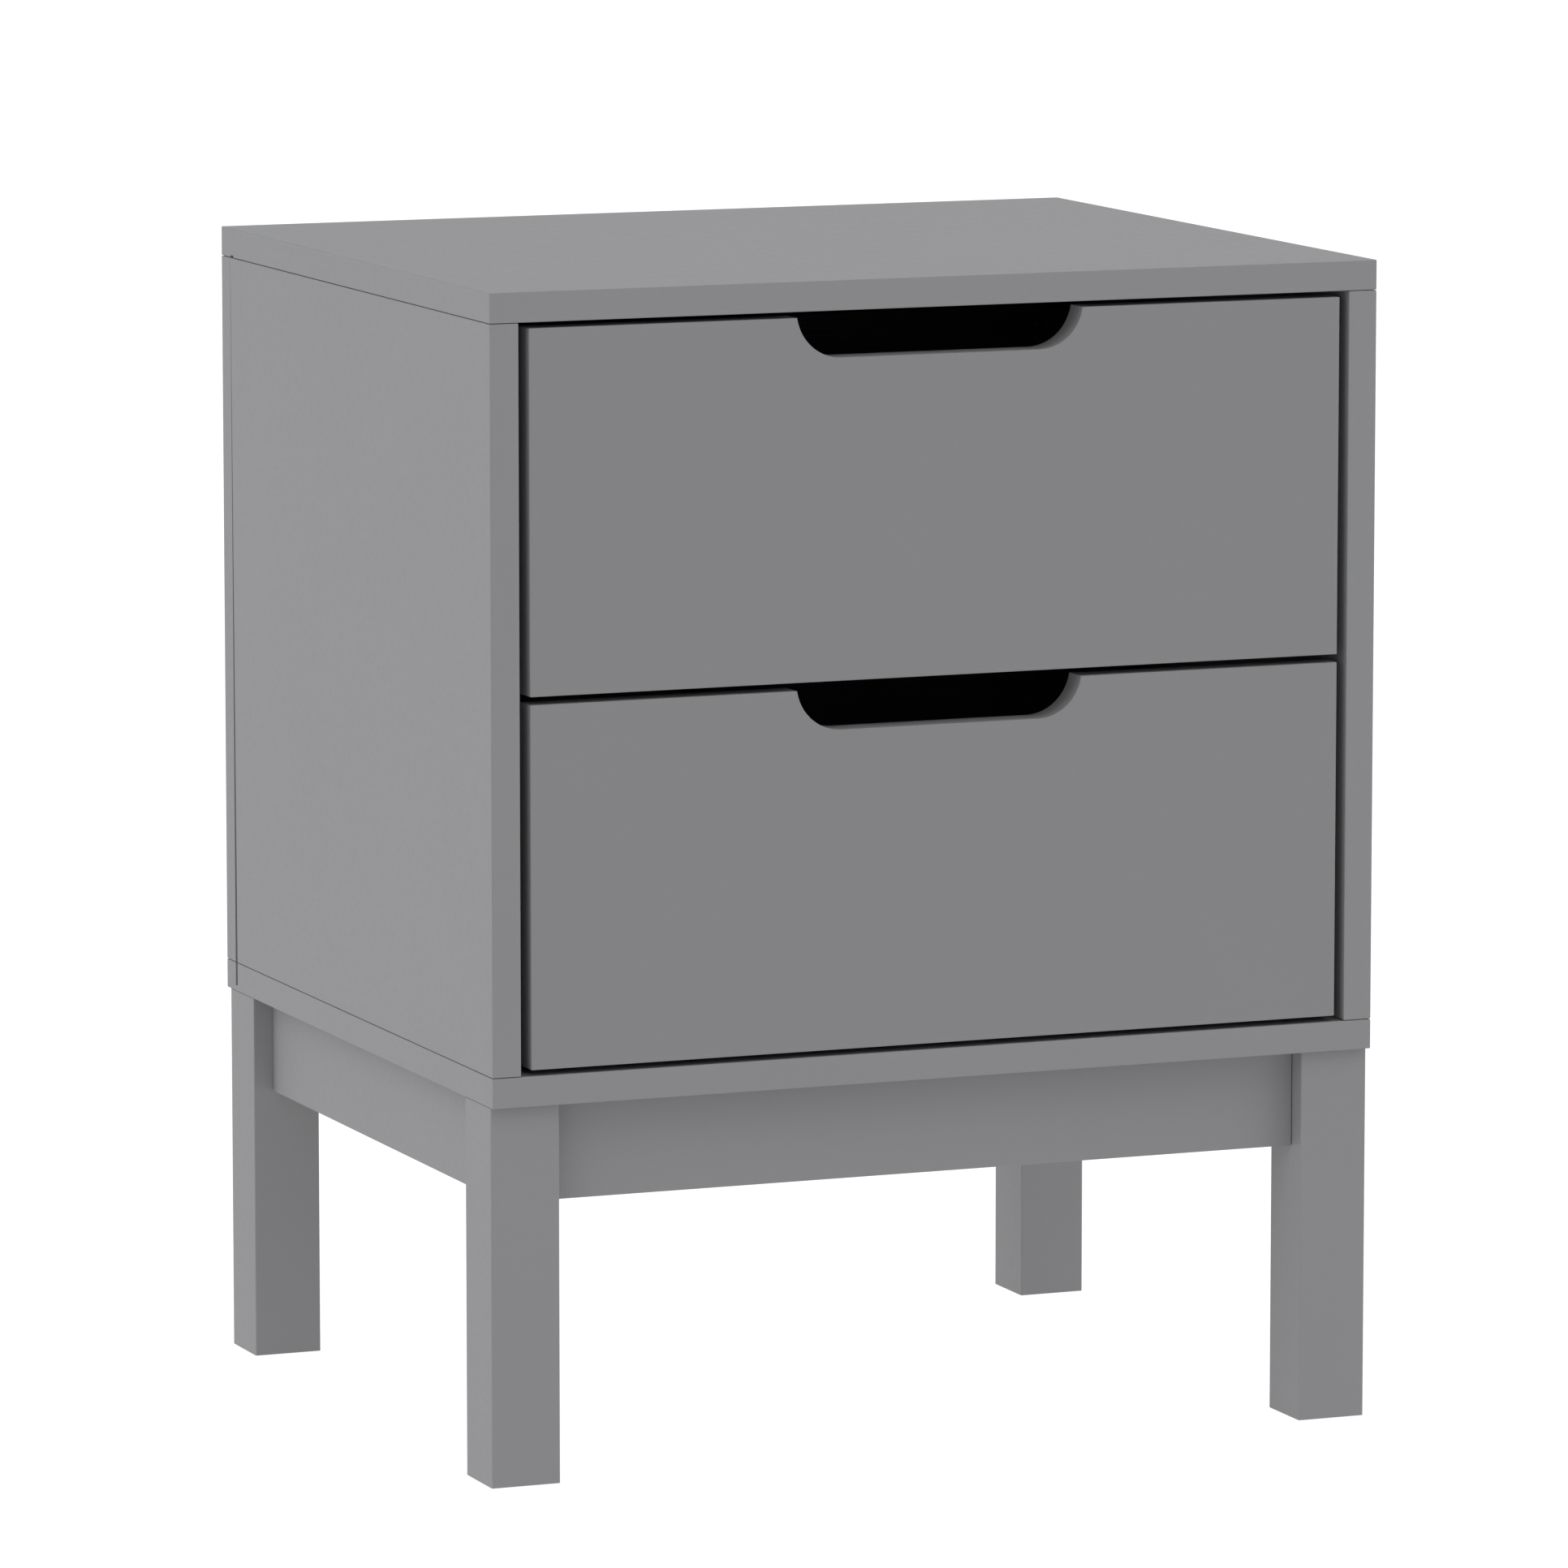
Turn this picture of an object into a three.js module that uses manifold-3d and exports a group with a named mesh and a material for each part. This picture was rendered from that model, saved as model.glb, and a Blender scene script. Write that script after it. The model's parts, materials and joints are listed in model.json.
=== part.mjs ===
// A nightstand with two inset drawers on a base frame of four legs and four aprons.
// Millimetres. X is the width, Y runs from the front (-) to the back (+), Z is up.
// The origin is on the floor, under the middle of the cabinet.

import * as THREE from 'three';
import { mergeVertices } from 'three/addons/utils/BufferGeometryUtils.js';
import Module from 'manifold-3d';

const wasm = await Module();
wasm.setup();

// ---------- Driving dimensions ----------

const width = 502;
const depth = 423.4;
const height = 625.4;
const board = 15.9; // thickness of every painted board
const joint = 0.3; // clearance between pieces that are fastened face to face

// Base frame
const cabinetBase = 201.3; // height of the bottom panel's underside
const legSide = 38.1;
const legInsetX = 0.5; // leg's outer face, in from the cabinet's side
const legInsetY = 4.5; // leg's outer face, in from the cabinet's front or back
const apronHeight = 52.5;
const apronRecess = 11.3; // apron's outer face, in from the leg's outer face
const blockThickness = 24; // corner block, along the leg bolt
const blockHeight = 22;
const boltRadius = 3;
const boltInLeg = 22; // length of bolt inside the leg
const boltHead = { radius: 6, length: 4.5 };
const screwRadius = 2;
const screwInPanel = 9.7;
const screwHead = { radius: 4, length: 2.5 };
const screwFromCorner = { x: 23.4, y: 0.6 }; // panel screw, in from the leg's inner corner
const holeClearance = 0.4; // radial, around bolts and screws

// Back: a thin sheet held between the side panels and the rear stiles
const backSheet = 4;
const stileDepth = 14.7;
const stileGapTop = 0.2; // open joint between a side panel and its stile
const stileGapBottom = 3.2;
const backRebate = 8; // how far the sheet reaches into each side panel
const bottomGrooveDepth = 12.7;
const topGrooveDepth = 1;

// Drawer fronts
const frontGap = { side: 5.75, top: 3.2, middle: 4.3, bottom: 3.2 };
// The finger cut-out ends in two arcs, whose centres are span apart and rise above the front's top edge.
const grip = { radius: 25, span: 112, rise: 3.6 };

// Drawer boxes
const boxWall = 12;
const boxHeight = 140;
const boxLength = 350;
const boxRise = 16; // box's lower edge, up from the front's lower edge
const boxBottom = { thickness: 5, rise: 8, tongue: 5 }; // the sheet that lies in grooves in the walls

// Slides: a cabinet rail and a drawer rail on each side of each box
const slideGap = 12.7; // between box and side panel
const sheetSteel = 1.2;
const roller = { radius: 7.5, width: 6.8, bore: 2.3, rim: 0.8 };
const axle = { radius: 2, headRadius: 4, head: 1 };
const passing = 0.5; // sideways clearance between slide parts that pass each other
const frontAxleY = 10; // behind the rails' front ends
const railFoot = 10.5; // the drawer rail's reach under the box wall
const railLip = 6.8; // the drawer rail's reach over the front roller
const stopDrop = 4; // how far the open stop hangs below the rollers' tops
const travel = 260;

// ---------- Derived dimensions ----------

const halfWidth = width / 2;
const halfDepth = depth / 2;
const sideBottom = cabinetBase + board + joint;
const openingBottom = cabinetBase + board;
const openingTop = height - board;
const sideTop = openingTop - joint;
const innerHalfWidth = halfWidth - board;
const frameTop = cabinetBase - joint;

const stileFront = halfDepth - stileDepth;
const sheetRear = stileFront - joint;
const grooveFront = sheetRear - backSheet - joint;

const legInnerX = halfWidth - legInsetX - legSide;
const legInnerY = halfDepth - legInsetY - legSide;
const apronInnerX = halfWidth - legInsetX - apronRecess - board;
const apronInnerY = halfDepth - legInsetY - apronRecess - board;
const boltHeight = frameTop - blockHeight / 2;
const screwX = legInnerX - screwFromCorner.x;
const screwY = legInnerY - screwFromCorner.y;

const openingHeight = openingTop - openingBottom;
const frontHeight = (openingHeight - frontGap.top - frontGap.middle - frontGap.bottom) / 2;
const frontHalfWidth = innerHalfWidth - frontGap.side;
const boxHalfWidth = innerHalfWidth - slideGap;
const boxFront = board + joint; // behind the drawer front's outer face
const boxRear = boxFront + boxLength;
const grooveBottom = boxRise + boxBottom.rise - joint;
const grooveTop = boxRise + boxBottom.rise + boxBottom.thickness + joint;

// Slides, measured outwards from the box wall and up from its lower edge
const rearAxleY = boxLength - sheetSteel - joint - roller.radius;
const flangeUnder = -joint - sheetSteel;
const rollerTop = 2 * roller.radius;
const lipUnder = rollerTop + joint;
const railTop = lipUnder + sheetSteel;
const drawerWeb = joint + sheetSteel;
const lipEnd = joint + railLip;
const rearRollerInner = drawerWeb + passing;
const rearAxleEnd = rearRollerInner + roller.width + joint;
const cabinetRailOuter = slideGap - joint;
const cabinetWeb = cabinetRailOuter - sheetSteel;
const frontRollerInner = cabinetWeb - passing - roller.width;
const frontAxleEnd = frontRollerInner - joint;

// ---------- Materials ----------

const look = (color, roughness, metalness = 0) => ({ color, roughness, metalness });
const paint = look(0x969698, 0.5);
const stainedBirch = look(0x7f7f80, 0.6);
const hardboard = look(0x969698, 0.7);
const blockWood = look(0xc9a877, 0.7);
const zinc = look(0xb9bcc0, 0.4, 1);
const blackCoat = look(0x2c2c2e, 0.45);
const nylon = look(0x3a3a3c, 0.4);

// ---------- Shape helpers ----------

/** A box between two opposite corners, given in any order. */
function box([x0, y0, z0], [x1, y1, z1]) {
  const geometry = new THREE.BoxGeometry(Math.abs(x1 - x0), Math.abs(y1 - y0), Math.abs(z1 - z0));
  return geometry.translate((x0 + x1) / 2, (y0 + y1) / 2, (z0 + z1) / 2);
}

/** A round or many-sided bar along X, from x0 to x1. */
function barX(radius, x0, x1, y, z, sides = 16) {
  const geometry = new THREE.CylinderGeometry(radius, radius, Math.abs(x1 - x0), sides);
  return geometry.rotateZ(Math.PI / 2).translate((x0 + x1) / 2, y, z);
}

/** A round bar along Z, from z0 to z1. */
function barZ(radius, z0, z1, x, y, sides = 16) {
  const geometry = new THREE.CylinderGeometry(radius, radius, z1 - z0, sides);
  return geometry.rotateX(Math.PI / 2).translate(x, y, (z0 + z1) / 2);
}

function toSolid(geometry) {
  const bare = geometry.clone();
  bare.deleteAttribute('normal');
  bare.deleteAttribute('uv');
  const merged = mergeVertices(bare, 1e-4);
  return new wasm.Manifold(new wasm.Mesh({
    numProp: 3,
    vertProperties: merged.attributes.position.array,
    triVerts: Uint32Array.from(merged.index.array),
  }));
}

function toGeometry(solid) {
  const { vertProperties, triVerts } = solid.getMesh();
  const geometry = new THREE.BufferGeometry();
  geometry.setAttribute('position', new THREE.BufferAttribute(vertProperties, 3));
  geometry.setIndex(new THREE.BufferAttribute(triVerts, 1));
  geometry.computeVertexNormals();
  return geometry;
}

const join = (...pieces) => toGeometry(pieces.map(toSolid).reduce((sum, piece) => sum.add(piece)));

const cut = (stock, ...tools) =>
  toGeometry(tools.map(toSolid).reduce((rest, tool) => rest.subtract(tool), toSolid(stock)));

/** Adds a named piece to a group and returns it, so that it can be placed. */
function add(group, name, geometry, finish) {
  const mesh = new THREE.Mesh(geometry, new THREE.MeshStandardMaterial(finish));
  mesh.name = name;
  group.add(mesh);
  return mesh;
}

const nightstand = new THREE.Group();
const sides = [['left', -1], ['right', 1]];
const ends = [['front', -1], ['rear', 1]];

// ---------- Cabinet ----------

/** Top panel, with a shallow groove across its underside for the back sheet's upper edge. */
function topPanel() {
  const stock = box([-halfWidth, -halfDepth, openingTop], [halfWidth, halfDepth, height]);
  const groove = box(
    [-halfWidth - 1, grooveFront, openingTop - 1],
    [halfWidth + 1, stileFront, openingTop + topGrooveDepth],
  );
  return cut(stock, groove);
}

/**
 * Bottom panel. The back sheet stands in a deep groove between the stiles, and the saw kerf that
 * the groove starts from runs out through both sides. Four blind holes take the panel screws.
 */
function bottomPanel() {
  const stock = box([-halfWidth, -halfDepth, cabinetBase], [halfWidth, halfDepth, openingBottom]);
  const grooveFloor = openingBottom - bottomGrooveDepth;
  const grooveEnd = innerHalfWidth + backRebate + joint;
  const kerf = box(
    [-halfWidth - 1, stileFront - stileGapBottom, grooveFloor],
    [halfWidth + 1, stileFront, openingBottom + 1],
  );
  const groove = box([-grooveEnd, grooveFront, grooveFloor], [grooveEnd, stileFront, openingBottom + 1]);
  const holeTop = cabinetBase + screwInPanel + joint;
  const holes = sides.flatMap(([, sx]) => ends.map(([, sy]) => (
    barZ(screwRadius + holeClearance, cabinetBase - 1, holeTop, sx * screwX, sy * screwY)
  )));
  return cut(stock, kerf, groove, ...holes);
}

/** Side panel. Its rear edge leans away from the stile, and its inner rear corner is rebated. */
function sidePanel(side) {
  const outline = new THREE.Shape([
    new THREE.Vector2(-halfDepth, sideBottom),
    new THREE.Vector2(stileFront - stileGapBottom, sideBottom),
    new THREE.Vector2(stileFront - stileGapTop, sideTop),
    new THREE.Vector2(-halfDepth, sideTop),
  ]);
  const panel = new THREE.ExtrudeGeometry(outline, { depth: board, bevelEnabled: false });
  panel.rotateX(Math.PI / 2).rotateZ(Math.PI / 2); // the outline's X becomes Y, and its Y becomes Z
  panel.translate(side > 0 ? innerHalfWidth : -halfWidth, 0, 0);
  const rebate = box(
    [side * (innerHalfWidth - 1), grooveFront, sideBottom - 1],
    [side * (innerHalfWidth + backRebate + joint), halfDepth, sideTop + 1],
  );
  return cut(panel, rebate);
}

add(nightstand, 'top_panel', topPanel(), paint);
add(nightstand, 'bottom_panel', bottomPanel(), paint);
for (const [side, sx] of sides) {
  add(nightstand, `${side}_side_panel`, sidePanel(sx), paint);
  const stile = box([sx * innerHalfWidth, stileFront, sideBottom], [sx * halfWidth, halfDepth, sideTop]);
  add(nightstand, `${side}_rear_stile`, stile, paint);
}
const sheetHalfWidth = innerHalfWidth + backRebate;
add(nightstand, 'back_panel', box(
  [-sheetHalfWidth, sheetRear - backSheet, openingBottom - bottomGrooveDepth + joint],
  [sheetHalfWidth, sheetRear, openingTop + topGrooveDepth - joint],
), hardboard);

// ---------- Base frame ----------

/** Square leg with a hole for its bolt, bored at 45 degrees into the inner corner. */
function leg(sx, sy) {
  const stock = box(
    [sx * legInnerX, sy * legInnerY, 0],
    [sx * (legInnerX + legSide), sy * (legInnerY + legSide), frameTop],
  );
  const hole = barX(boltRadius + holeClearance, -boltRadius, boltInLeg + joint, 0, 0);
  hole.rotateZ(Math.atan2(sy, sx)).translate(sx * legInnerX, sy * legInnerY, boltHeight);
  return cut(stock, hole);
}

/** Corner block: fits round the leg's inner corner, against both aprons, with a face at 45 degrees. */
function cornerBlock(sx, sy) {
  const diagonal = legInnerX + legInnerY - blockThickness * Math.SQRT2; // x + y on the slanted face
  const outline = new THREE.Shape([
    [legInnerX - joint, apronInnerY - joint],
    [diagonal - (apronInnerY - joint), apronInnerY - joint],
    [apronInnerX - joint, diagonal - (apronInnerX - joint)],
    [apronInnerX - joint, legInnerY - joint],
    [legInnerX - joint, legInnerY - joint],
  ].map(([x, y]) => new THREE.Vector2(sx * x, sy * y)));
  const stock = new THREE.ExtrudeGeometry(outline, { depth: blockHeight, bevelEnabled: false });
  stock.translate(0, 0, frameTop - blockHeight);
  const boltHole = barX(boltRadius + holeClearance, -blockThickness - 5, boltRadius, 0, 0);
  boltHole.rotateZ(Math.atan2(sy, sx)).translate(sx * legInnerX, sy * legInnerY, boltHeight);
  const screwHole = barZ(
    screwRadius + holeClearance, frameTop - blockHeight - 1, frameTop + 1, sx * screwX, sy * screwY,
  );
  return cut(stock, boltHole, screwHole);
}

/** Hex-headed leg bolt along its own X axis, with its origin at the leg's inner corner. */
function legBolt() {
  const headEnd = -blockThickness - joint;
  return join(
    barX(boltRadius, headEnd - 1, boltInLeg, 0, 0),
    barX(boltHead.radius, headEnd - boltHead.length, headEnd, 0, 0, 6),
  );
}

/** Panel screw, driven up from under a corner block, with its origin where it enters the panel. */
function panelScrew() {
  const headTop = -joint - blockHeight - joint;
  return join(
    barZ(screwRadius, headTop - 1, screwInPanel, 0, 0),
    barZ(screwHead.radius, headTop - screwHead.length, headTop, 0, 0),
  );
}

for (const [end, sy] of ends) {
  for (const [side, sx] of sides) {
    const corner = `${end}_${side}`;
    add(nightstand, `${corner}_leg`, leg(sx, sy), paint);
    add(nightstand, `${corner}_corner_block`, cornerBlock(sx, sy), blockWood);
    const bolt = add(nightstand, `${corner}_leg_bolt`, legBolt(), zinc);
    bolt.position.set(sx * legInnerX, sy * legInnerY, boltHeight);
    bolt.rotation.z = Math.atan2(sy, sx);
    const screw = add(nightstand, `${corner}_panel_screw`, panelScrew(), zinc);
    screw.position.set(sx * screwX, sy * screwY, cabinetBase);
  }
}

const apronBottom = frameTop - apronHeight;
const apronEndX = legInnerX - joint;
const apronEndY = legInnerY - joint;
for (const [end, sy] of ends) {
  add(nightstand, `${end}_apron`, box(
    [-apronEndX, sy * apronInnerY, apronBottom],
    [apronEndX, sy * (apronInnerY + board), frameTop],
  ), paint);
}
for (const [side, sx] of sides) {
  add(nightstand, `${side}_apron`, box(
    [sx * apronInnerX, -apronEndY, apronBottom],
    [sx * (apronInnerX + board), apronEndY, frameTop],
  ), paint);
}

// ---------- Drawers ----------
// Each drawer has its own group, with its origin at the middle of the front's lower edge.

/** Drawer front with the finger cut-out in its top edge and a groove for the box's bottom. */
function drawerFront() {
  const centreZ = frontHeight + grip.rise;
  const startAngle = Math.asin(grip.rise / grip.radius);
  const outline = new THREE.Shape();
  outline.moveTo(-frontHalfWidth, 0);
  outline.lineTo(frontHalfWidth, 0);
  outline.lineTo(frontHalfWidth, frontHeight);
  outline.absarc(grip.span / 2, centreZ, grip.radius, -startAngle, -Math.PI / 2, true);
  outline.absarc(-grip.span / 2, centreZ, grip.radius, -Math.PI / 2, startAngle - Math.PI, true);
  outline.lineTo(-frontHalfWidth, frontHeight);
  outline.closePath();
  const panel = new THREE.ExtrudeGeometry(outline, { depth: board, bevelEnabled: false, curveSegments: 20 });
  panel.rotateX(Math.PI / 2).translate(0, board, 0);
  const grooveEnd = boxHalfWidth - boxWall + boxBottom.tongue + joint;
  const groove = box(
    [-grooveEnd, board - boxBottom.tongue, grooveBottom],
    [grooveEnd, board + 1, grooveTop],
  );
  return cut(panel, groove);
}

/** Wall of the drawer box along Y, grooved on its inner face. */
function drawerSide(sx) {
  const inner = boxHalfWidth - boxWall;
  const wall = box([sx * inner, boxFront, boxRise], [sx * boxHalfWidth, boxRear, boxRise + boxHeight]);
  const groove = box(
    [sx * (inner - 1), boxFront - 1, grooveBottom],
    [sx * (inner + boxBottom.tongue + joint), boxRear - boxWall + boxBottom.tongue + joint, grooveTop],
  );
  return cut(wall, groove);
}

/** Rear wall of the drawer box, between the side walls. */
function drawerBack() {
  const end = boxHalfWidth - boxWall - joint;
  const wall = box([-end, boxRear - boxWall, boxRise], [end, boxRear, boxRise + boxHeight]);
  const groove = box(
    [-end - 1, boxRear - boxWall - 1, grooveBottom],
    [end + 1, boxRear - boxWall + boxBottom.tongue + joint, grooveTop],
  );
  return cut(wall, groove);
}

function drawerBottom() {
  const end = boxHalfWidth - boxWall + boxBottom.tongue;
  return box(
    [-end, board - boxBottom.tongue + joint, grooveBottom + joint],
    [end, boxRear - boxWall + boxBottom.tongue, grooveTop - joint],
  );
}

// ---------- Slides ----------
// Each slide has its own group. Its origin is at the lower front corner of the box wall's outer face,
// and sx * x is the distance from that face towards the cabinet's side.

/** Drawer rail: a foot under the wall, a web beside it, a lip on the front roller and the rear axle. */
function drawerRail(sx) {
  return join(
    box([sx * joint, 0, flangeUnder], [sx * drawerWeb, boxLength, railTop]),
    box([-sx * railFoot, 0, flangeUnder], [sx * drawerWeb, boxLength, -joint]),
    box([sx * joint, 0, lipUnder], [sx * lipEnd, boxLength, railTop]),
    barX(axle.radius, sx * (drawerWeb - joint), sx * (rearAxleEnd + joint), rearAxleY, roller.radius),
    barX(axle.headRadius, sx * rearAxleEnd, sx * (rearAxleEnd + axle.head), rearAxleY, roller.radius),
  );
}

/** Cabinet rail: a channel for the rear roller, with a stop at each end of its travel, and the front axle. */
function cabinetRail(sx) {
  const upperFlange = lipEnd + passing;
  const stopUnder = rollerTop - stopDrop;
  const rollerReach = Math.sqrt(roller.radius ** 2 - (stopUnder - roller.radius) ** 2);
  const openStop = rearAxleY - travel - rollerReach - joint;
  const closedStop = boxLength - sheetSteel;
  return join(
    box([sx * cabinetWeb, 0, flangeUnder], [sx * cabinetRailOuter, boxLength, railTop]),
    box([sx * rearRollerInner, 0, flangeUnder], [sx * cabinetRailOuter, boxLength, -joint]),
    box([sx * upperFlange, 0, lipUnder], [sx * cabinetRailOuter, boxLength, railTop]),
    box([sx * rearRollerInner, closedStop, flangeUnder], [sx * cabinetRailOuter, boxLength, rollerTop]),
    box([sx * upperFlange, openStop - sheetSteel, stopUnder], [sx * cabinetRailOuter, openStop, railTop]),
    barX(axle.radius, sx * (cabinetWeb + joint), sx * (frontAxleEnd - joint), frontAxleY, roller.radius),
    barX(axle.headRadius, sx * frontAxleEnd, sx * (frontAxleEnd - axle.head), frontAxleY, roller.radius),
  );
}

/** Roller with bevelled rims and a bore, from x = 0 outwards along its own X axis. */
function rollerWheel(sx) {
  const { radius, width: breadth, bore, rim } = roller;
  const wheel = new THREE.LatheGeometry([
    [bore, 0],
    [radius - rim, 0],
    [radius, rim],
    [radius, breadth - rim],
    [radius - rim, breadth],
    [bore, breadth],
    [bore, 0],
  ].map(([r, along]) => new THREE.Vector2(r, along)), 24);
  return wheel.rotateZ(-sx * Math.PI / 2);
}

for (const [level, frontBottom] of [
  ['upper', openingTop - frontGap.top - frontHeight],
  ['lower', openingBottom + frontGap.bottom],
]) {
  const drawer = new THREE.Group();
  drawer.position.set(0, -halfDepth, frontBottom);
  nightstand.add(drawer);
  add(drawer, `${level}_drawer_front`, drawerFront(), paint);
  add(drawer, `${level}_drawer_back`, drawerBack(), stainedBirch);
  add(drawer, `${level}_drawer_bottom`, drawerBottom(), stainedBirch);
  for (const [side, sx] of sides) {
    add(drawer, `${level}_drawer_${side}_side`, drawerSide(sx), stainedBirch);
    const slide = new THREE.Group();
    slide.position.set(sx * boxHalfWidth, boxFront, boxRise);
    drawer.add(slide);
    add(slide, `${level}_${side}_drawer_rail`, drawerRail(sx), blackCoat);
    add(slide, `${level}_${side}_cabinet_rail`, cabinetRail(sx), blackCoat);
    add(slide, `${level}_${side}_front_roller`, rollerWheel(sx), nylon)
      .position.set(sx * frontRollerInner, frontAxleY, roller.radius);
    add(slide, `${level}_${side}_rear_roller`, rollerWheel(sx), nylon)
      .position.set(sx * rearRollerInner, rearAxleY, roller.radius);
  }
}

export default nightstand;
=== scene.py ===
"""A grey nightstand with two inset drawers, in a pale studio.

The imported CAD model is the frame. Every board, rail and fitting is copied from its CAD node, gets
its eased edges here and stands for that node. Metres, X to the right, Y to the back, Z up.
"""

import json
import math

import bmesh
import bpy
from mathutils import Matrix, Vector


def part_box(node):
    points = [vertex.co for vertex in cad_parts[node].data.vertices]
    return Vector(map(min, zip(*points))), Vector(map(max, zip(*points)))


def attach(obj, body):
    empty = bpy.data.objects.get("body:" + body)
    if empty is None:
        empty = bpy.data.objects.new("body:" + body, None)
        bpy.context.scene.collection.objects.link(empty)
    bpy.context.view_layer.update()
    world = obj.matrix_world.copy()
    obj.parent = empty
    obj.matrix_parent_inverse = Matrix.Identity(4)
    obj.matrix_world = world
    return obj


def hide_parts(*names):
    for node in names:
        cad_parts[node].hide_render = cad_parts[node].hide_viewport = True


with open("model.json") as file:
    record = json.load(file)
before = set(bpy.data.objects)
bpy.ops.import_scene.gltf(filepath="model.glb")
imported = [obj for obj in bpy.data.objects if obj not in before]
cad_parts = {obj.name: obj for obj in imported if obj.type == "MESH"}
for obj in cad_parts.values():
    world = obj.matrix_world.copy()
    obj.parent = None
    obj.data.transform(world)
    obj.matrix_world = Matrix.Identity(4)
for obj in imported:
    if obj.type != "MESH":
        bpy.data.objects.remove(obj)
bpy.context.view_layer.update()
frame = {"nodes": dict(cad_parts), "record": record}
MM = 0.001

# ---------- Camera and studio ----------

CAMERA_AIM = Vector((-0.0013, 0.0031, 0.3295))
CAMERA_AZIMUTH = -22.04  # degrees; 0 looks along +Y
CAMERA_ELEVATION = 8.18
CAMERA_DISTANCE = 5.46
CAMERA_LENS = 230.1  # millimetres
SENSOR_WIDTH = 36
CAMERA_REACH = 200  # how far the camera sees, past the far side of the floor

WORLD_STRENGTH = 0.21
FLOOR_GLOW = 0.75
FLOOR_HAZE = 0.23  # what the camera sees on top of the floor's glow
FLOOR_RADIUS = 60
FLOOR_SIDES = 64
FLOOR_DROP = 0.5 * MM  # keeps the floor clear of the feet
LIGHT_SOFTNESS = 90  # degrees across each light
LIGHTS = {  # the way the light travels, and its strength
    "top_light": ((0, 0, -1), 1.34),
    "left_light": ((1, 0, -0.25), 1.65),
    "right_light": ((-1, 0, -0.3), 2.52),
}


def add_camera():
    azimuth = math.radians(CAMERA_AZIMUTH)
    elevation = math.radians(CAMERA_ELEVATION)
    back = Vector((
        math.sin(azimuth) * math.cos(elevation),
        -math.cos(azimuth) * math.cos(elevation),
        math.sin(elevation),
    ))
    camera = bpy.data.objects.new("camera", bpy.data.cameras.new("camera"))
    camera.data.lens = CAMERA_LENS
    camera.data.sensor_width = SENSOR_WIDTH
    camera.data.clip_end = CAMERA_REACH
    camera.location = CAMERA_AIM + back * CAMERA_DISTANCE
    camera.rotation_mode = "QUATERNION"
    camera.rotation_quaternion = (-back).to_track_quat("-Z", "Y")
    bpy.context.scene.collection.objects.link(camera)
    bpy.context.scene.camera = camera


def add_world():
    """Even light from all round; the camera sees it as white."""
    world = bpy.data.worlds.new("studio")
    world.use_nodes = True
    nodes, links = world.node_tree.nodes, world.node_tree.links
    nodes.clear()
    output = nodes.new("ShaderNodeOutputWorld")
    mix = nodes.new("ShaderNodeMixShader")
    path = nodes.new("ShaderNodeLightPath")
    light = nodes.new("ShaderNodeBackground")
    light.inputs["Strength"].default_value = WORLD_STRENGTH
    light.inputs["Color"].default_value = (1, 1, 1, 1)
    backdrop = nodes.new("ShaderNodeBackground")
    backdrop.inputs["Color"].default_value = (1, 1, 1, 1)
    links.new(path.outputs["Is Camera Ray"], mix.inputs["Fac"])
    links.new(light.outputs[0], mix.inputs[1])
    links.new(backdrop.outputs[0], mix.inputs[2])
    links.new(mix.outputs[0], output.inputs["Surface"])
    bpy.context.scene.world = world


def add_lights():
    """Broad soft lights, as from large diffusers above and at both sides."""
    for name, (direction, strength) in LIGHTS.items():
        light = bpy.data.objects.new(name, bpy.data.lights.new(name, "SUN"))
        light.data.energy = strength
        light.data.angle = math.radians(LIGHT_SOFTNESS)
        light.rotation_mode = "QUATERNION"
        light.rotation_quaternion = Vector(direction).to_track_quat("-Z", "Y")
        bpy.context.scene.collection.objects.link(light)


def add_floor():
    mesh = bpy.data.meshes.new("floor")
    shape = bmesh.new()
    bmesh.ops.create_circle(shape, cap_ends=True, radius=FLOOR_RADIUS, segments=FLOOR_SIDES)
    shape.to_mesh(mesh)
    shape.free()
    floor = bpy.data.objects.new("floor", mesh)
    floor.location.z = -FLOOR_DROP
    bpy.context.scene.collection.objects.link(floor)
    mesh.materials.append(floor_glass())


# ---------- Materials ----------

PAINT_GREY = (0.283, 0.283, 0.2915)
FRONT_GREY = (0.2655, 0.2655, 0.2735)  # the drawer fronts are a shade darker
STAIN_DARK = (0.15, 0.149, 0.149)  # birch under a grey stain
STAIN_LIGHT = (0.285, 0.284, 0.287)
PINE_DARK = (0.46, 0.27, 0.12)
PINE_LIGHT = (0.76, 0.55, 0.31)
ZINC = (0.62, 0.63, 0.65)
RAIL_BLACK = (0.025, 0.025, 0.026)
NYLON_GREY = (0.042, 0.042, 0.044)
FLOOR_GREY = (0.12, 0.12, 0.12)


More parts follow.
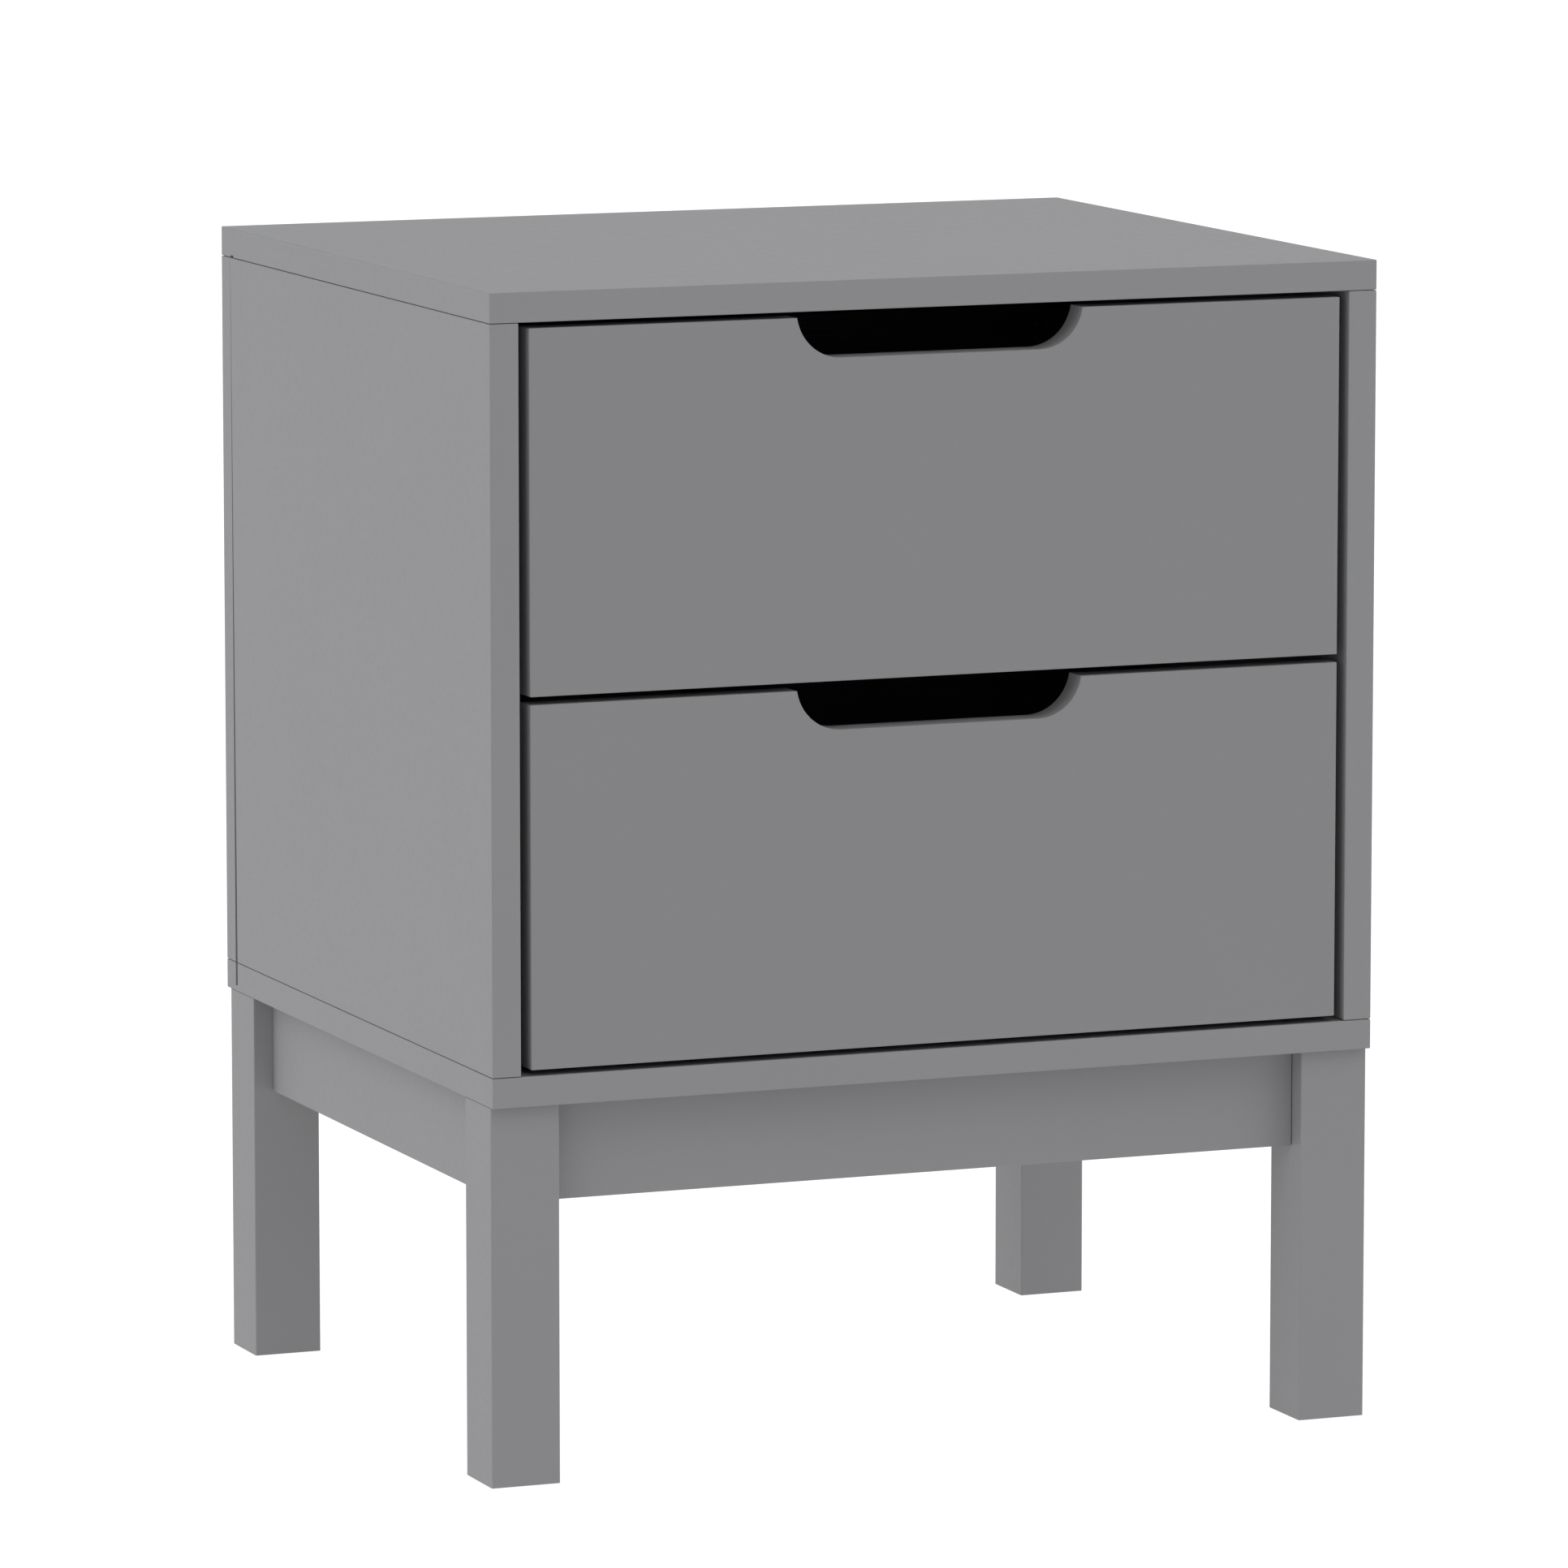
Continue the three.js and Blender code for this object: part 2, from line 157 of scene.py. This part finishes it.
class Recipe:
    """A material under construction: makes nodes and links them in one call."""

    def __init__(self, name):
        self.material = bpy.data.materials.new(name)
        self.material.use_nodes = True
        self.tree = self.material.node_tree
        self.shader = self.tree.nodes["Principled BSDF"]

    def node(self, kind, settings=None, **inputs):
        made = self.tree.nodes.new(kind)
        for key, value in (settings or {}).items():
            setattr(made, key, value)
        for key, value in inputs.items():
            self.feed(made.inputs[key.replace("_", " ")], value)
        return made

    def feed(self, socket, value):
        if isinstance(value, bpy.types.NodeSocket):
            self.tree.links.new(value, socket)
        else:
            socket.default_value = value

    def set(self, **inputs):
        for key, value in inputs.items():
            self.feed(self.shader.inputs[key.replace("_", " ")], value)

    def place(self, stretch=(1, 1, 1)):
        """The piece's own coordinates in metres, squeezed along each axis."""
        coordinates = self.node("ShaderNodeTexCoord").outputs["Object"]
        mapping = self.node("ShaderNodeMapping", Vector=coordinates, Scale=stretch)
        return mapping.outputs["Vector"]

    def place_along(self, grain, lengthwise, crosswise):
        """The piece's own coordinates, squeezed to run along the axis of the grain."""
        return self.place([lengthwise if axis == grain else crosswise for axis in "XYZ"])

    def noise(self, place, scale, detail, roughness=0.5):
        made = self.node("ShaderNodeTexNoise", Vector=place, Scale=scale, Detail=detail, Roughness=roughness)
        return made.outputs["Fac"]

    def span(self, value, low, high, from_low=0.3, from_high=0.7):
        """Maps a texture's value to a range."""
        made = self.node(
            "ShaderNodeMapRange", Value=value, From_Min=from_low, From_Max=from_high, To_Min=low, To_Max=high,
        )
        return made.outputs["Result"]

    def sum(self, *terms):
        total = terms[0]
        for term in terms[1:]:
            added = self.node("ShaderNodeMath", {"operation": "ADD"})
            self.feed(added.inputs[0], total)
            self.feed(added.inputs[1], term)
            total = added.outputs[0]
        return total

    def blend(self, factor, first, second):
        made = self.node("ShaderNodeMix", {"data_type": "RGBA"})
        self.feed(made.inputs["Factor"], factor)
        self.feed(made.inputs["A"], first)
        self.feed(made.inputs["B"], second)
        return made.outputs["Result"]

    def tint(self, color, factor):
        """The colour, lighter or darker by a factor that varies over the surface."""
        made = self.node("ShaderNodeVectorMath", {"operation": "SCALE"})
        made.inputs[0].default_value = color
        self.feed(made.inputs["Scale"], factor)
        return made.outputs["Vector"]

    def bump(self, height, distance, strength):
        made = self.node("ShaderNodeBump", Height=height, Strength=strength, Distance=distance)
        self.set(Normal=made.outputs["Normal"])


def floor_glass():
    """A pale translucent floor, lit from below, so that hardly a shadow is left on it.

    It has no rear face, so that a view from below shows the underside.
    """
    glass = Recipe("floor_glass")
    seen = glass.node("ShaderNodeLightPath").outputs["Is Camera Ray"]
    glass.set(
        Base_Color=(*FLOOR_GREY, 1),
        Roughness=0.9,
        Specular_IOR_Level=0.0,
        Emission_Color=(1, 1, 1, 1),
        Emission_Strength=glass.span(seen, FLOOR_GLOW, FLOOR_GLOW + FLOOR_HAZE, 0, 1),
    )
    side = glass.node("ShaderNodeNewGeometry").outputs["Backfacing"]
    clear = glass.node("ShaderNodeBsdfTransparent")
    mix = glass.node("ShaderNodeMixShader", Fac=side)
    glass.feed(mix.inputs[1], glass.shader.outputs["BSDF"])
    glass.feed(mix.inputs[2], clear.outputs["BSDF"])
    glass.feed(glass.tree.nodes["Material Output"].inputs["Surface"], mix.outputs["Shader"])
    return glass.material


def lacquer(name, color):
    """Sprayed satin paint: fine orange peel, and a breath of cloudiness in the colour."""
    paint = Recipe(name)
    place = paint.place()
    clouds = paint.span(paint.noise(place, 9, 3), 0.994, 1.006)
    specks = paint.span(paint.noise(place, 1500, 2, 0.6), -0.012, 0.012)
    paint.set(
        Base_Color=paint.tint(color, paint.sum(clouds, specks)),
        Roughness=paint.span(paint.noise(place, 260, 3), 0.5, 0.58),
        Specular_IOR_Level=0.3,
    )
    peel = paint.sum(paint.noise(place, 420, 2), paint.noise(place, 1900, 1))
    paint.bump(peel, 0.03 * MM, 0.6)
    return paint.material


def wood(name, dark, light, grain, roughness, figure, ring_scale):
    """Wood with its grain along one axis: growth bands, a drifting tone, fine fibres and pores.

    figure is the contrast of the growth bands, and ring_scale sets how many there are.
    """
    timber = Recipe(name)
    band_squeeze = 14.0
    wander = timber.noise(timber.place_along(grain, 0.8, 5.0), 3, 3)
    bands = timber.node(
        "ShaderNodeTexWave",
        {"bands_direction": "DIAGONAL", "wave_profile": "SIN"},
        Vector=timber.place_along(grain, 1.0, band_squeeze),
        Scale=ring_scale / band_squeeze,
        Distortion=5.5,
        Detail=3,
        Detail_Scale=1.6,
        Phase_Offset=timber.span(wander, 0, 9),
    )
    fibres = timber.noise(timber.place_along(grain, 9.0, 900.0), 1.0, 3, 0.65)
    pores = timber.noise(timber.place_along(grain, 60.0, 1800.0), 1.0, 1)
    shade = timber.sum(
        timber.span(bands.outputs["Fac"], 0.1, 0.1 + figure, 0.0, 1.0),
        timber.span(wander, 0.0, 0.3),
        timber.span(fibres, 0.0, 0.45),
        timber.span(pores, -0.08, 0.1, 0.2, 0.8),
    )
    timber.set(
        Base_Color=timber.blend(shade, (*dark, 1), (*light, 1)),
        Roughness=timber.span(fibres, roughness - 0.06, roughness + 0.08),
        Specular_IOR_Level=0.4,
    )
    timber.bump(timber.sum(timber.span(fibres, 0, 1), timber.span(pores, 0, 0.6)), 0.05 * MM, 0.5)
    return timber.material


def ply_edge(name, dark, light, across):
    """The edge of plywood: thin plies across the board's thickness, light and dark by turns."""
    edge = Recipe(name)
    plies = edge.node(
        "ShaderNodeTexWave",
        {"bands_direction": across, "wave_profile": "SAW"},
        Vector=edge.place(),
        Scale=100,
        Distortion=0.25,
        Detail_Scale=3,
    )
    fibres = edge.noise(edge.place(), 600, 3, 0.6)
    shade = edge.sum(edge.span(plies.outputs["Fac"], 0.0, 0.75, 0.3, 0.7), edge.span(fibres, -0.1, 0.25))
    edge.set(
        Base_Color=edge.blend(shade, (*dark, 1), (*light, 1)),
        Roughness=0.62,
        Specular_IOR_Level=0.3,
    )
    edge.bump(shade, 0.04 * MM, 0.5)
    return edge.material


def hardboard(name, color):
    """Painted hardboard: smooth, with the faint felted texture of pressed fibres."""
    sheet = Recipe(name)
    place = sheet.place()
    fibres = sheet.noise(place, 320, 5, 0.7)
    sheet.set(
        Base_Color=sheet.tint(color, sheet.span(fibres, 0.95, 1.04)),
        Roughness=sheet.span(fibres, 0.62, 0.75),
        Specular_IOR_Level=0.25,
    )
    sheet.bump(fibres, 0.09 * MM, 0.5)
    return sheet.material


def plated_steel(name, color):
    """Zinc plating: metallic, with soft crystalline patches and fine scratches."""
    metal = Recipe(name)
    patches = metal.node("ShaderNodeTexVoronoi", Vector=metal.place(), Scale=900.0)
    scratches = metal.noise(metal.place((40, 40, 2600)), 1.0, 2)
    metal.set(
        Base_Color=metal.tint(color, metal.span(patches.outputs["Distance"], 0.9, 1.08, 0, 0.8)),
        Roughness=metal.span(scratches, 0.26, 0.42),
        Metallic=1.0,
    )
    metal.bump(scratches, 0.02 * MM, 0.4)
    return metal.material


def powder_coat(name, color):
    """Powder coat on steel: a pebbled skin with a soft gloss."""
    coat = Recipe(name)
    pebbles = coat.noise(coat.place(), 800, 3, 0.55)
    coat.set(
        Base_Color=coat.tint(color, coat.span(coat.noise(coat.place(), 60, 3), 0.97, 1.02)),
        Roughness=coat.span(pebbles, 0.3, 0.4),
        Specular_IOR_Level=0.5,
    )
    coat.bump(pebbles, 0.06 * MM, 0.5)
    return coat.material


def nylon(name, color):
    """Moulded nylon: slightly waxy, with faint turning marks."""
    plastic = Recipe(name)
    marks = plastic.noise(plastic.place((2500, 60, 60)), 1.0, 1)
    plastic.set(
        Base_Color=plastic.tint(color, plastic.span(plastic.noise(plastic.place(), 120, 2), 0.97, 1.02)),
        Roughness=plastic.span(marks, 0.36, 0.5),
        Coat_Weight=0.08,
        Coat_Roughness=0.4,
    )
    plastic.bump(marks, 0.02 * MM, 0.4)
    return plastic.material


body_paint = lacquer("body_paint", PAINT_GREY)
front_paint = lacquer("front_paint", FRONT_GREY)
birch = {
    axis: wood(
        f"birch_along_{axis.lower()}",
        STAIN_DARK,
        STAIN_LIGHT,
        grain=axis,
        roughness=0.45,
        figure=0.2,
        ring_scale=22,
    )
    for axis in "XY"
}
birch_edge = {
    axis: ply_edge(f"birch_plies_{axis.lower()}", STAIN_DARK, STAIN_LIGHT, across=axis)
    for axis in "XYZ"
}
block_wood = wood("block_wood", PINE_DARK, PINE_LIGHT, grain="X", roughness=0.6, figure=0.45, ring_scale=60)
sheet_grey = hardboard("back_sheet_grey", PAINT_GREY)
zinc = plated_steel("zinc", ZINC)
rail_black = powder_coat("rail_black", RAIL_BLACK)
roller_nylon = nylon("roller_nylon", NYLON_GREY)

# ---------- Shape helpers ----------

# Radii of the eased edges.
BOARD_EDGE = 0.45 * MM
LEG_EDGE = 0.8 * MM
SMALL_EDGE = 0.3 * MM
RAIL_EDGE = 0.25 * MM
FITTING_EDGE = 0.1 * MM
EDGE_SEGMENTS = 3

SHARP = math.radians(30)
FLAT = math.radians(0.5)
SAME_POINT = 0.001 * MM
BOX_SLACK = 1.5 * MM  # wide enough to take in both edges of sheet steel
PLANE_SLACK = 0.1 * MM
FACE_NOT_EDGE = 0.7  # a normal closer than this to the thickness belongs to a face

body_of = {node: body for body, nodes in frame["record"]["behaviour"]["bodies"].items() for node in nodes}


def on_outer_edge(edge, low, high, slack):
    """True if the edge runs along an edge of the piece's box."""
    at_limit = 0
    for axis in range(3):
        ends = [vertex.co[axis] for vertex in edge.verts]
        for limit in (low[axis], high[axis]):
            if all(abs(value - limit) < slack for value in ends):
                at_limit += 1
    return at_limit >= 2


def eased(node, radius, *materials, wanted=None):
    """A copy of a CAD node with its edges rounded over, which rides and stands for that node.

    wanted(edge) picks the edges to round; without it, those along the piece's box are rounded.
    """
    low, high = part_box(node)
    shape = bmesh.new()
    shape.from_mesh(frame["nodes"][node].data)
    bmesh.ops.remove_doubles(shape, verts=shape.verts, dist=SAME_POINT)
    bmesh.ops.dissolve_limit(shape, angle_limit=FLAT, verts=shape.verts, edges=shape.edges)
    pick = wanted or (lambda edge: on_outer_edge(edge, low, high, BOX_SLACK))
    bmesh.ops.bevel(
        shape,
        geom=[edge for edge in shape.edges if edge.calc_face_angle(0) > SHARP and pick(edge)],
        offset=radius,
        segments=EDGE_SEGMENTS,
        profile=0.5,
        affect="EDGES",
        clamp_overlap=True,
    )
    for edge in shape.edges:
        edge.smooth = edge.calc_face_angle(0) < SHARP
    for face in shape.faces:
        face.smooth = True
    mesh = bpy.data.meshes.new(f"{node}_skin")
    shape.to_mesh(mesh)
    shape.free()
    for material in materials:
        mesh.materials.append(material)
    piece = bpy.data.objects.new(f"{node}_skin", mesh)
    bpy.context.scene.collection.objects.link(piece)
    piece.modifiers.new("normals", "WEIGHTED_NORMAL").keep_sharp = True
    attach(piece, body_of[node])
    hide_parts(node)
    return piece


# ---------- Cabinet ----------

SIDES = ("left", "right")
LEVELS = ("upper", "lower")
ENDS = ("front", "rear")
STILE_JOINT_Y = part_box("left_rear_stile")[0].y
STILE_JOINT_REACH = 5 * MM


def away_from_stile_joint(node):
    """Picks the outer edges, apart from those at the joint between side panel and rear stile.

    That joint stays crisp, so that it shows as a hairline.
    """
    low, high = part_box(node)

    def wanted(edge):
        near_joint = all(abs(vertex.co.y - STILE_JOINT_Y) < STILE_JOINT_REACH for vertex in edge.verts)
        return not near_joint and on_outer_edge(edge, low, high, BOX_SLACK)

    return wanted


def upright_edges(node):
    """Picks a leg's edges along its length. Its ends stay crisp, so that its joint stays thin."""
    low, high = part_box(node)

    def wanted(edge):
        first, second = edge.verts
        return abs(first.co.z - second.co.z) > (high.z - low.z) / 2

    return wanted


for node in ("top_panel", "bottom_panel"):
    eased(node, BOARD_EDGE, body_paint)
for side in SIDES:
    for node in (f"{side}_side_panel", f"{side}_rear_stile"):
        eased(node, BOARD_EDGE, body_paint, wanted=away_from_stile_joint(node))
for node in ("front_apron", "rear_apron", "left_apron", "right_apron"):
    eased(node, BOARD_EDGE, body_paint)
for end in ENDS:
    for side in SIDES:
        leg = f"{end}_{side}_leg"
        eased(leg, LEG_EDGE, body_paint, wanted=upright_edges(leg))
        eased(f"{end}_{side}_corner_block", SMALL_EDGE, block_wood)
eased("back_panel", SMALL_EDGE, sheet_grey)

# ---------- Drawers ----------


def front_edges(node):
    """Picks the drawer front's sharp edges, apart from the groove's."""
    low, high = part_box(node)

    def wanted(edge):
        in_front = all(abs(vertex.co.y - low.y) < PLANE_SLACK for vertex in edge.verts)
        return in_front or on_outer_edge(edge, low, high, PLANE_SLACK)

    return wanted


def drawer_board(node, grain):
    """A plywood board of a drawer box: grain along one axis on its faces, and plies on its edges."""
    low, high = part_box(node)
    thickness = min(range(3), key=lambda axis: high[axis] - low[axis])
    board = eased(node, SMALL_EDGE, birch[grain], birch_edge["XYZ"[thickness]])
    for face in board.data.polygons:
        face.material_index = int(abs(face.normal[thickness]) < FACE_NOT_EDGE)


for level in LEVELS:
    front = f"{level}_drawer_front"
    eased(front, BOARD_EDGE, front_paint, wanted=front_edges(front))
    for side in SIDES:
        drawer_board(f"{level}_drawer_{side}_side", "Y")
        for rail in ("drawer_rail", "cabinet_rail"):
            eased(f"{level}_{side}_{rail}", RAIL_EDGE, rail_black)
        for roller in ("front_roller", "rear_roller"):
            eased(f"{level}_{side}_{roller}", FITTING_EDGE, roller_nylon)
    drawer_board(f"{level}_drawer_back", "X")
    drawer_board(f"{level}_drawer_bottom", "Y")

for node in frame["nodes"]:
    if node.endswith(("_leg_bolt", "_panel_screw")):
        eased(node, FITTING_EDGE, zinc)

# ---------- Scene ----------

add_camera()
add_world()
add_lights()
add_floor()
bpy.context.scene.view_settings.view_transform = "Standard"
